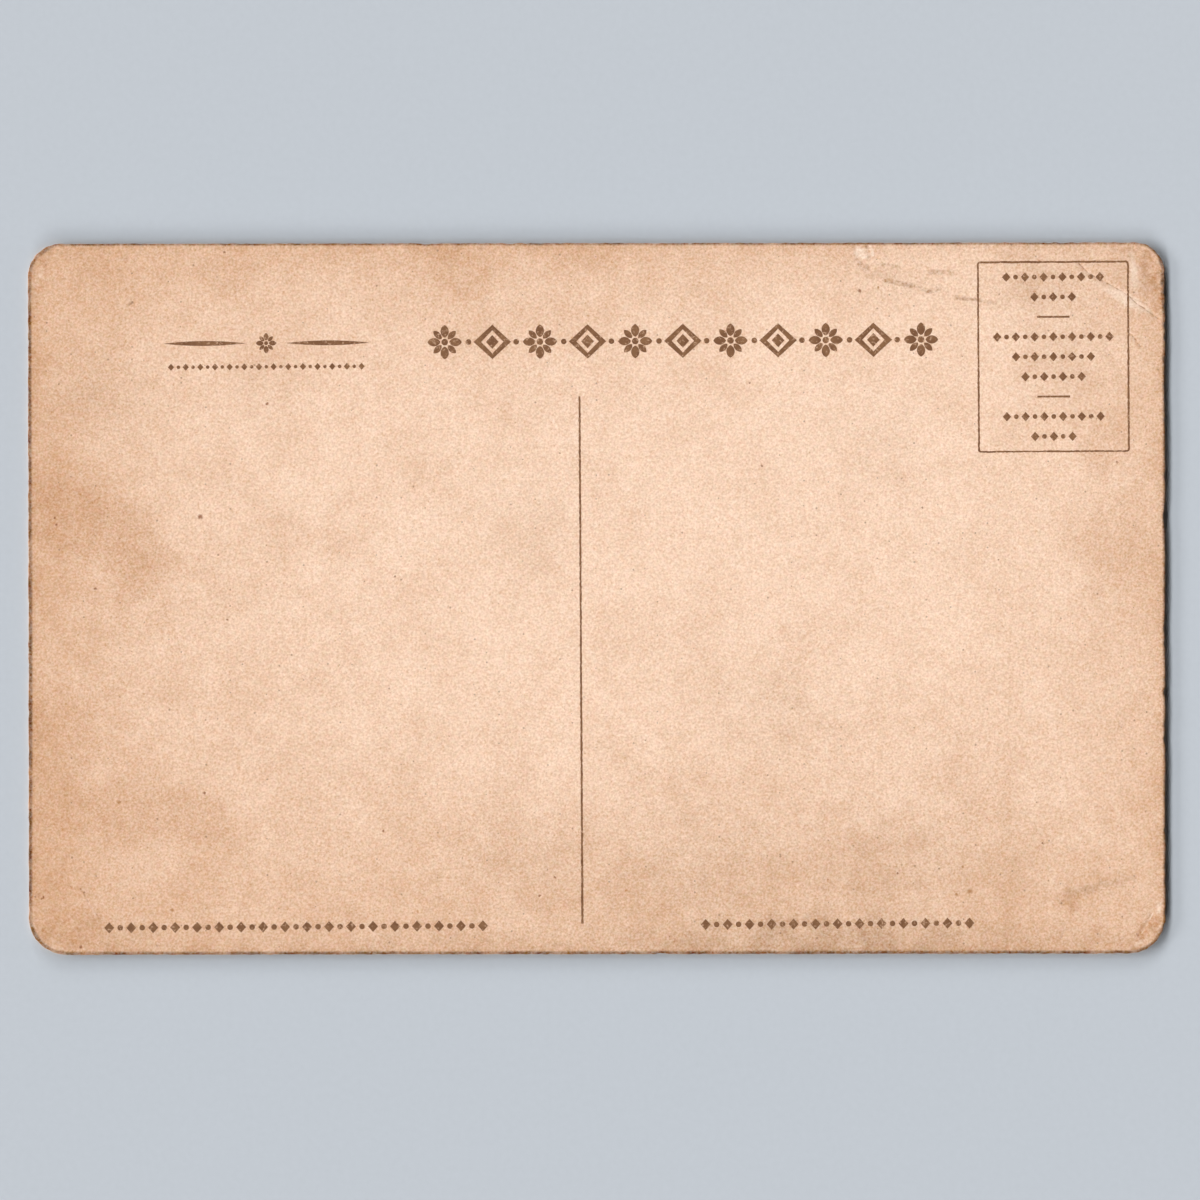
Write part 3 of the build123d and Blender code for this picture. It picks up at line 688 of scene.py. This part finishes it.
def chalkCoating():
    # clay and chalk in casein, calendered to a dull shine: cream, foxed with small brown spots, toned towards
    # its edges and on the left partly by painted shade, cracked along the creases
    look = coatingLook
    material, add, place = newMaterial("chalkCoating")
    toning, rim = (add("Attribute", {"attribute_name": label}).outputs["Fac"] for label in ("toning", "rim"))
    cloud = add("TexNoise", {}, {"Scale": 1 / look["cloudSize"], "Detail": 3.0}, {"Vector": place})
    uneven = add("Math", timesPlus, {1: look["clouds"], 2: -look["clouds"] / 2}, {0: cloud})
    toned = add("Math", plusClamped, {}, {0: toning, 1: uneven})
    body = add("Mix", mixColours, {6: look["pale"], 7: look["toned"]}, {0: toned})
    spot = add("TexVoronoi", {}, {"Scale": 1 / look["foxCells"]}, {"Vector": place})
    pick = add("SeparateColor", links={0: spot.outputs["Color"]})
    size = add("MapRange", {}, spread(look["foxSizes"]), {0: pick.outputs[1]})
    near = add("Math", {"operation": "SUBTRACT"}, {}, {0: size, 1: spot})
    foxing = add("MapRange", smoothStep, spread(look["foxEdge"]), {0: near})
    foxed = add("Mix", mixColours, {7: look["fox"]}, {0: foxing, 6: body})
    breaks = add("MapRange", {}, spread(look["rimBreaks"]), {0: cloud})
    edge = add("MapRange", smoothStep, spread(look["rimFade"]), {0: rim})
    rimDirt = add("Math", times, {}, {0: edge, 1: breaks})
    rimmed = add("Mix", mixColours, {7: look["dirt"]}, {0: rimDirt, 6: foxed})
    cracked = drawLines(add, place, rimmed, creaseLines, 1.0, look)
    fine = add("TexNoise", {}, {"Scale": 1 / look["grainSize"], "Detail": 2.0}, {"Vector": place})
    light = add("Math", timesPlus, {1: look["grain"], 2: 1 - look["grain"] / 2}, {0: fine})
    grained = add("VectorMath", {"operation": "SCALE"}, {}, {0: cracked, "Scale": light})
    finishSurface(add, grained, fine, (0.15, 0.01), {"Roughness": 0.55, "IOR": 1.5})
    return material


def layerSpan(node):
    # heights of a CAD layer's two faces, mm
    low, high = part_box(node)
    return low.z / mm, high.z / mm


paperBottom, paperTop = layerSpan("address_side_paper")
paperTop -= card["inkStep"]
gridX, gridY = sheetGrid(*sheetMesh["address"])
wornX, wornY = wornPlace(gridX, gridY, *edgeWear["address"])
addressPaper = faceMesh("address_paper", wornX, wornY, paperTop + paperRelief(gridX, gridY), paperBottom,
                        paperTones(gridX, gridY), agedPaper())
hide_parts("address_side_paper")
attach(addressPaper, "root")
print("address side paper:", len(addressPaper.data.polygons), "faces")

coatArris = {"wide": 0.35, "drop": 0.010}   # mm
coatBottom, coatTop = layerSpan("picture_coating")
coatX, coatY = sheetGrid(*sheetMesh["picture"])
depth, outX, outY = depthInside(coatX, coatY)
coatZ = coatBottom + card["inkStep"] + coatArris["drop"] * np.clip(1 - depth / coatArris["wide"], 0, 1) ** 2
wornX, wornY = wornPlace(coatX, coatY, *edgeWear["picture"])
pictureCoat = faceMesh("picture_coat", wornX, wornY, coatZ, coatTop, paperTones(coatX, coatY), chalkCoating())
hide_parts("picture_coating")
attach(pictureCoat, "root")
print("picture coat:", len(pictureCoat.data.polygons), "faces")

innerLayers = {
    # node: piece, material, slot, seed, own rub and how far its cut edge bellies out or in, mm
    "picture_side_paper": ("picture_paper", "edgePaper", "side_paper", 53, 0.008, 0.004),
    "lower_paste_layer": ("lower_paste", "flourPaste", "paste", 54, 0.022, -0.006),
    "core_board": ("pulp_core", "pulpBoard", "core_board", 55, 0.012, 0.010),
    "upper_paste_layer": ("upper_paste", "flourPaste", "paste", 56, 0.022, -0.006),
}
# heights at which a cut edge is worked out; size in mm and share of the raggedness between them
layerEdge = {"steps": 6, "ragSize": 0.7, "rag": 0.15}
ring = ringOf(*gridX.shape)
ringX, ringY = gridX.ravel()[ring], gridY.ravel()[ring]
depth, outX, outY = depthInside(ringX, ringY)
edgeMaterials = {name: cutEdge(name) for name in boardLooks}
for node, (name, finish, slotName, seed, ownRub, belly) in innerLayers.items():
    # the worn outline carried up through the layer's thickness in steps, closed by a flat face at each end;
    # the steps are rubbed a little differently, so the fibres of the cut edge stand unevenly
    low, high = layerSpan(node)
    step = np.linspace(0, 1, layerEdge["steps"])[:, None]
    edgeX, edgeY = wornPlace(ringX, ringY, seed, ownRub)
    ragged = np.stack([softNoise(ringX, ringY, layerEdge["ragSize"], seed + 10 * i)
                       for i in range(layerEdge["steps"])])
    push = np.minimum(belly * 4 * step * (1 - step) - max(belly, 0) + ownRub * layerEdge["rag"] * ragged, 0)
    points = np.stack((edgeX + outX * push, edgeY + outY * push, low + (high - low) * step + 0 * push), -1)
    index = np.arange(push.size).reshape(push.shape)
    after = np.roll(index, -1, 1)
    wall = np.stack((index[:-1], after[:-1], after[1:], index[1:]), -1).reshape(-1, 4)
    ends = [index[0, ::-1].tolist(), index[-1].tolist()]
    layer = newPiece(name, points.reshape(-1, 3), wall.tolist() + ends, edgeMaterials[finish])
    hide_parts(node)
    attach(layer, "root")
print("inner layers:", len(innerLayers))


inkLook = {
    "ink": "#764F33", "thin": "#8D6544", "bare": "#D9B192",
    "poolSize": 1.1, "wearSize": 0.30,   # mm; the wear is drawn coarser than the paper's tooth to show
    "thinning": (0.35, 0.70, 0.0, 0.9), "pinholes": (0.56, 0.74, 0.0, 0.75),
}


def letterpressInk():
    # oily brown ink pressed into matt paper: even but thin, darker where it pooled, with pinholes where the
    # paper's tooth took none
    look = inkLook
    material, add, place = newMaterial("brownLetterpressInk")
    pool = add("TexNoise", {}, {"Scale": 1 / look["poolSize"], "Detail": 2.0}, {"Vector": place})
    wear = add("TexNoise", {}, {"Scale": 1 / look["wearSize"], "Detail": 2.0, "Roughness": 0.6},
               {"Vector": place})
    thin = add("MapRange", {}, spread(look["thinning"]), {0: pool})
    body = add("Mix", mixColours, {6: look["ink"], 7: look["thin"]}, {0: thin})
    holes = add("MapRange", {}, spread(look["pinholes"]), {0: wear})
    worn = add("Mix", mixColours, {7: look["bare"]}, {0: holes, 6: body})
    finishSurface(add, worn, wear, (0.3, 0.01), {"Roughness": 0.7, "IOR": 1.48, "Specular IOR Level": 0.3})
    return material


brownInk = letterpressInk()
for node in ("title_ornament_ink", "imprint_ornament_ink", "stamp_box_ornament_ink", "message_heading_ink",
             "address_heading_ink"):
    cadNodes[node].material_slots[0].material = brownInk

printedLines = {
    "inkDepth": 0.01,
    # how far each edge wanders and over what length, mm: fine, then slow; and the least half width
    "wander": ((0.015, 0.5), (0.008, 3.0)), "least": 0.04,
    # the stamp box, mm: middle, size to the middle of its line, corner radius, and the line's width on the
    # right, top, left and bottom
    "box": ((56.225, 29.40), (18.415, 23.265), 0.30, (0.232, 0.238, 0.226, 0.207)),
    # the divider: x, heights of its foot, middle and top and the line's width at each, mm
    "divider": (-2.0, (-39.9, -8.0, 24.85), (0.285, 0.230, 0.250)),
    "steps": {"side": 140, "bend": 6, "divider": 420},
}


def inkLine(name, x, y, outX, outY, width, closed):
    # a flat section carried along a path: its two edges stand half the width to either side of the path and
    # wander by noise; then all is turned as the printing is and laid on the creased paper
    edges = []
    for seed in (71, 72):
        wander = sum(far * softNoise(x, y, size, seed + 2 * i)
                     for i, (far, size) in enumerate(printedLines["wander"]))
        edges.append(np.maximum(width / 2 + wander, printedLines["least"]))
    outer, inner = edges[0], -edges[1]
    # round the section: up the outer edge, across the top, down the inner edge and back
    across = np.stack((outer, outer, (outer + inner) / 2, inner, inner, (outer + inner) / 2))
    onTop = np.array([0, 1, 1, 1, 0, 0])[:, None]
    lineX, lineY = x + outX * across, y + outY * across
    c, s = math.cos(math.radians(card["printTurn"])), math.sin(math.radians(card["printTurn"]))
    lineX, lineY = lineX * c - lineY * s, lineX * s + lineY * c
    z = paperTop + paperRelief(lineX, lineY) + card["inkStep"] - printedLines["inkDepth"] * (1 - onTop)
    index = np.arange(lineX.size).reshape(lineX.shape)
    below, after = np.roll(index, -1, 0), np.roll(index, -1, 1)
    quads = np.stack((index, after, np.roll(after, -1, 0), below), -1)
    ends = []
    if not closed:
        quads, ends = quads[:, :-1], [index[:, 0].tolist(), index[::-1, -1].tolist()]
    points = np.stack((lineX, lineY, z), -1).reshape(-1, 3)
    return newPiece(name, points, quads.reshape(-1, 4).tolist() + ends, brownInk)


def stampBoxFrame():
    # once round anticlockwise: up to each corner's centre along a straight side, then a quarter turn about it
    middle, size, radius, widths = printedLines["box"]
    signs = np.array(((1, 1), (-1, 1), (-1, -1), (1, -1)))
    centres = signs * (np.array(size) / 2 - radius) + np.array(middle)
    steps = printedLines["steps"]
    straight, bend = (np.linspace(0, 1, steps[part], endpoint=False) for part in ("side", "bend"))
    stops, quarters = [], []
    for corner in range(4):
        start, end = centres[corner - 1], centres[corner]
        stops += [start + straight[:, None] * (end - start), end + 0 * bend[:, None]]
        quarters += [corner + 0 * straight, corner + bend]
    stops, angle = np.concatenate(stops), np.concatenate(quarters) * np.pi / 2
    outX, outY = np.cos(angle), np.sin(angle)
    width = sum(w * np.maximum(np.cos(angle - i * np.pi / 2), 0) ** 2 for i, w in enumerate(widths))
    pathX, pathY = stops[:, 0] + radius * outX, stops[:, 1] + radius * outY
    return inkLine("stamp_box_frame", pathX, pathY, outX, outY, width, True)


def dividerLine():
    # a straight path up the card
    x, heights, widths = printedLines["divider"]
    y = np.linspace(heights[0], heights[-1], printedLines["steps"]["divider"])
    return inkLine("divider_line", x + 0 * y, y, 1 + 0 * y, 0 * y, np.interp(y, heights, widths), False)


for piece, node in ((stampBoxFrame(), "stamp_box_frame_ink"), (dividerLine(), "divider_line_ink")):
    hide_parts(node)
    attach(piece, "root")
print("brown printing done")


pictureInks = {
    # node: material, tints from deep to pale, tone size in mm and its stretch along x, y where the wash is
    # deep and where pale; size in mm, stretch along x and strength of the crayon marks, such as leaves,
    # wavelets, tufts or bark
    "sky_ink": (
        "lithoSkyBlue", ("#84A9BE", "#AFC6CC", "#E4DCC6"), 12.0, 3.0, 40.0, 2.0, 5.0, 5.0, 0.15),
    "far_hills_ink": (
        "lithoHazeViolet", ("#6C728B", "#908F9F", "#BDB4AD"), 7.0, 1.2, 9.0, -9.0, 2.6, 0.7, 0.45),
    "near_hills_ink": (
        "lithoHillGreen", ("#47603F", "#75855A", "#B0AB7B"), 4.0, 1.4, -13.0, -5.0, 1.7, 0.9, 0.60),
    "lake_ink": (
        "lithoLakeBlue", ("#4A7A82", "#82A8AC", "#C9D2C2"), 3.0, 7.0, -13.0, -26.0, 0.75, 7.0, 0.55),
    "boat_ink": (
        "lithoHullBrown", ("#4F3226", "#6F4631", "#96684A"), 1.5, 4.0, -24.0, -12.0, 0.5, 6.0, 0.40),
    "bank_ink": (
        "lithoGrassOchre", ("#66652F", "#968748", "#CDB574"), 2.4, 1.2, -40.0, -29.0, 0.9, 0.35, 0.80),
    "tree_trunk_ink": (
        "lithoBarkBrown", ("#3F2F24", "#634A37", "#8E7054"), 1.2, 0.4, -40.0, 0.0, 0.7, 0.25, 0.80),
    "tree_foliage_ink": (
        "lithoLeafGreen", ("#2C3F28", "#556B3E", "#9DA263"), 3.0, 1.0, -16.0, 22.0, 1.25, 1.15, 0.95),
    "picture_keyline_ink": (
        "lithoKeyline", ("#5A4537", "#6D5647", "#86705F"), 2.0, 1.0, -40.0, 40.0, 1.0, 1.0, 0.10),
}
pictureLook = {
    "bare": "#E9D9BC", "varnish": "#C9A572", "fold": "#EFE3CC", "rubbed": "#EFE3CC",
    "grainSize": 0.42, "ageSize": 11.0,   # mm
    "wash": (0.12, 0.78), "shading": 1.4, "graining": 1.1,   # how far wash, strokes and grains shift the tint
    "bend": 1.5,                          # mm that the strokes bend the marks
    "markBorder": 0.42,                   # share of a mark's size at which it turns from pale to dark
    "bareGrains": (0.62, 0.74, 0.0, 0.6), "yellowing": (0.35, 0.7, 0.06, 0.26),
    "creased": "lithoSkyBlue",            # the ink that the top right corner's creases run through
}


def lithoInk(name, tints, tone, stretch, deepY, paleY, markSize, markStretch, markStrength):
    # transparent oil ink from a grained stone: the tint is built of crayon marks and grains with the cream
    # coat between them, drawn a little coarse to show, washed from deep to pale, and yellowed by the varnish
    look = pictureLook
    material, add, place = newMaterial(name)
    spot = add("SeparateXYZ", links={0: place})
    wash = add("MapRange", {}, spread((deepY, paleY, *look["wash"])), {0: spot.outputs[1]})
    drawn = add("Mapping", {}, {"Scale": (1 / stretch, 1, 1)}, {"Vector": place})
    strokes = add("TexNoise", {}, {"Scale": 1 / tone, "Detail": 4.0, "Roughness": 0.6}, {"Vector": drawn})
    crayon = add("TexNoise", {}, {"Scale": 1 / look["grainSize"], "Detail": 2.0, "Roughness": 0.7},
                 {"Vector": place})
    # the marks are cells, dark at their borders, bent by the strokes so that no two are alike
    bent = add("VectorMath", timesPlus, {1: (look["bend"], look["bend"], 0)},
               {0: strokes.outputs["Color"], 2: place})
    laid = add("Mapping", {}, {"Scale": (1 / markStretch, 1, 1)}, {"Vector": bent})
    marks = add("TexVoronoi", {"voronoi_dimensions": "2D"}, {"Scale": 1 / markSize}, {"Vector": laid})
    marked = add("Math", timesPlus, {1: -markStrength, 2: look["markBorder"] * markStrength}, {0: marks})
    shaded = add("Math", timesPlus, {1: look["shading"], 2: -look["shading"] / 2}, {0: strokes})
    level = add("Math", plus, {}, {0: wash, 1: shaded})
    drawing = add("Math", plus, {}, {0: level, 1: marked})
    grains = add("Math", timesPlus, {1: look["graining"], 2: -look["graining"] / 2}, {0: crayon})
    share = add("Math", plusClamped, {}, {0: drawing, 1: grains})
    lower = add("MapRange", {}, spread((0.0, 0.5, 0.0, 1.0)), {0: share})
    upper = add("MapRange", {}, spread((0.5, 1.0, 0.0, 1.0)), {0: share})
    dark = add("Mix", mixColours, {6: tints[0], 7: tints[1]}, {0: lower})
    body = add("Mix", mixColours, {7: tints[2]}, {0: upper, 6: dark})
    bare = add("MapRange", {}, spread(look["bareGrains"]), {0: crayon})
    uncovered = add("Mix", mixColours, {7: look["bare"]}, {0: bare, 6: body})
    age = add("TexNoise", {}, {"Scale": 1 / look["ageSize"], "Detail": 2.0}, {"Vector": place})
    yellow = add("MapRange", {}, spread(look["yellowing"]), {0: age})
    colour = add("Mix", mixColours, {7: look["varnish"]}, {0: yellow, 6: uncovered})
    if name == look["creased"]:
        colour = drawLines(add, place, colour, creaseLines, 1.2, look)
    finishSurface(add, colour, crayon, (0.2, 0.01), {"Roughness": 0.5, "IOR": 1.5})
    return material


for node, look in pictureInks.items():
    cadNodes[node].material_slots[0].material = lithoInk(*look)
print("picture inks:", len(pictureInks))


stageLook = {
    "floor": "#C3C9D0",
    "floorSize": 4000, "floorDrop": 0.02,  # mm
    "speckleSize": 0.8, "speckle": 0.05,   # mm, and how far the paint's light and dark go
    "fill": 0.015,                         # share of the light that comes from all round
    # a long strip light on the left in pairs: degrees to either side of -X, degrees above the floor, share
    # of the light that each of the two gives and its softness in degrees; the last pair is weak and low on
    # the right, for the right edge alone
    "strip": ((15, 26, 0.11, 10), (12, 10.5, 0.09, 8), (45, 22.5, 0.11, 12), (65, 14.5, 0.10, 10),
              (80, 9.5, 0.09, 8), (180, 3, 0.006, 4)),
    "underSoftness": 20,
}

# matt paint, rolled on: even, with a faint speckle
floorMaterial, add, place = newMaterial("paintedFloor")
speckle = add("TexNoise", {}, {"Scale": 1 / stageLook["speckleSize"], "Detail": 2.0}, {"Vector": place})
level = add("Math", timesPlus, {1: stageLook["speckle"], 2: 1 - stageLook["speckle"] / 2}, {0: speckle})
paint = add("VectorMath", {"operation": "SCALE"}, {0: linearColour(stageLook["floor"])[:3]}, {"Scale": level})
matt = add("BsdfDiffuse", links={"Color": paint})
# the floor shows only its upper side and stops no light, so the picture side can be looked at from below
clear = add("BsdfTransparent")
facing = add("NewGeometry")
ray = add("LightPath")
lit = add("Math", {"operation": "MAXIMUM"}, {},
          {0: ray.outputs["Is Shadow Ray"], 1: ray.outputs["Is Diffuse Ray"]})
through = add("Math", {"operation": "MAXIMUM"}, {}, {0: facing.outputs["Backfacing"], 1: lit})
oneSided = add("MixShader", links={0: through, 1: matt, 2: clear})
add("OutputMaterial", links={"Surface": oneSided})

half = stageLook["floorSize"] / 2
floorCorners = np.array(((-half, -half), (half, -half), (half, half), (-half, half)))
floorPoints = np.column_stack((floorCorners, np.full(4, -stageLook["floorDrop"])))
floor = newPiece("floor", floorPoints, [(0, 1, 2, 3)], floorMaterial)

world = bpy.data.worlds.new("studio")
bpy.context.scene.world = world
world.use_nodes = True
world.node_tree.nodes.clear()
add = functools.partial(addNode, world.node_tree)
fill = add("Background", {}, {"Color": "#FFFFFF", "Strength": stageLook["fill"]})
backdrop = add("Background", {}, {"Color": stageLook["floor"], "Strength": 1.0})
ray = add("LightPath")
mirrored = add("Math", {"operation": "MAXIMUM"}, {},
               {0: ray.outputs["Is Glossy Ray"], 1: ray.outputs["Is Transmission Ray"]})
plain = add("Math", {"operation": "MAXIMUM"}, {}, {0: ray.outputs["Is Camera Ray"], 1: mirrored})
seen = add("MixShader", links={0: plain, 1: fill, 2: backdrop})
add("OutputWorld", links={"Surface": seen})


def addSun(name, energy, softness, rotation):
    lamp = bpy.data.lights.new(name, "SUN")
    lamp.energy = energy
    lamp.angle = math.radians(softness)
    sun = bpy.data.objects.new(name, lamp)
    sun.rotation_euler = rotation
    bpy.context.scene.collection.objects.link(sun)


# the strip light as soft suns, which with the fill light the card to its written colours
sunlight = (1 - stageLook["fill"]) * math.pi
for turn, rise, part, softness in stageLook["strip"]:
    for side in (turn, -turn):
        addSun("strip", part * sunlight / math.sin(math.radians(rise)), softness,
               (0, math.radians(rise - 90), math.radians(side)))
# straight up from below, for the picture side alone
addSun("under", sunlight, stageLook["underSoftness"], (math.pi, 0, 0))

cameraLook = {
    "lens": 205.7, "sensor": 36.0,
    "frame": 147.37,            # mm of the card's plane across the 1200 pixels of the picture
    "over": (0.38, -0.17),      # mm, the point under the middle of the picture
    "roll": -0.07,              # degrees
    "clip": (0.05, 20),         # m
}
cameraData = bpy.data.cameras.new("camera")
cameraData.sensor_width = cameraLook["sensor"]
cameraData.lens = cameraLook["lens"]
cameraData.clip_start, cameraData.clip_end = cameraLook["clip"]
camera = bpy.data.objects.new("camera", cameraData)
away = cameraLook["frame"] * cameraLook["lens"] / cameraLook["sensor"]
camera.location = (cameraLook["over"][0] * mm, cameraLook["over"][1] * mm, (away + paperTop) * mm)
camera.rotation_euler = (0, 0, math.radians(cameraLook["roll"]))
bpy.context.scene.collection.objects.link(camera)
bpy.context.scene.camera = camera
bpy.context.scene.view_settings.view_transform = "Standard"
print("floor, lights and camera done")
